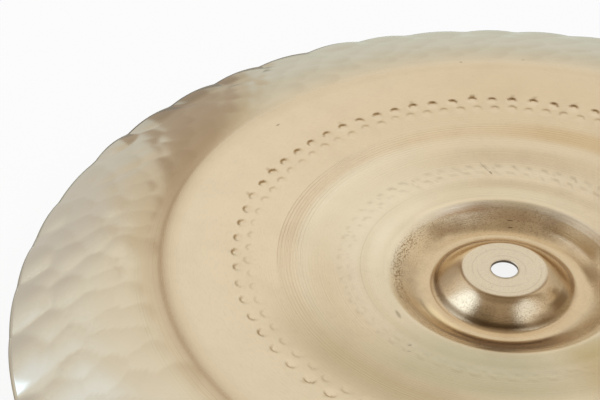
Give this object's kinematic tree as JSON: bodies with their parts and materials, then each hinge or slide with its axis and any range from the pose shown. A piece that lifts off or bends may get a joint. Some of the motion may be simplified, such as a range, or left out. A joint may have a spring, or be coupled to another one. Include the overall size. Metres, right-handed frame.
{
  "type": "china cymbal",
  "caption": "Hammered bronze china cymbal with a small flat crown inside its bell, a wide bow, a sharp crease and a turned-over wavy flange.",
  "frame": {"origin": "on the cymbal's axis, level with the underside of the bell's floor, which is its lowest point", "axes": "+Z along the cymbal's axis, towards the side that the picture shows, on which the crown stands up in the bell; +Y points away from the picture's viewer and +X to the viewer's right"},
  "size_m": [0.4572, 0.457, 0.039],
  "materials": {
    "bronze": "lathed satin bow, brilliant hammered flange, patinated bell"
  },
  "bodies": {
    "root": {"cymbal": "bronze"}
  },
  "joints": []
}
